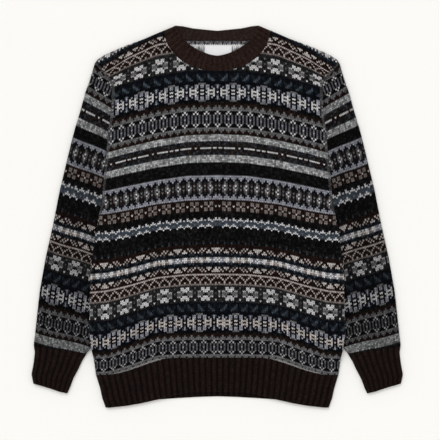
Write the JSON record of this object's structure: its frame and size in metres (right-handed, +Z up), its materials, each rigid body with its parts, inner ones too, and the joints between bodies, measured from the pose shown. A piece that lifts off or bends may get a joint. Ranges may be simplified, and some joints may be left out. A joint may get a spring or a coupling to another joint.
{
  "type": "fair isle jumper",
  "caption": "Long-sleeved crew-neck wool jumper with banded colourwork, laid flat, with ribbed neckband, cuffs and hem.",
  "frame": {"origin": "middle of the bounding box's underside, on the surface that the jumper lies on", "axes": "+Y towards the neck, +Z up through the front of the jumper, +X to the right as one looks down on the front"},
  "size_m": [0.6862, 0.7044, 0.0146],
  "materials": {
    "stranded_wool": "matt stranded wool knitting in bands of black, navy, grey, cream and dark brown",
    "rib_wool": "matt dark brown ribbed wool",
    "woven_label": "smooth white woven tape, blank"
  },
  "bodies": {
    "root": {"front_panel": "stranded_wool", "back_panel": "stranded_wool", "sleeve_left": "stranded_wool", "sleeve_right": "stranded_wool", "hem_rib_front": "rib_wool", "hem_rib_back": "rib_wool", "cuff_left": "rib_wool", "cuff_right": "rib_wool", "neckband": "rib_wool", "label": "woven_label"}
  },
  "joints": []
}
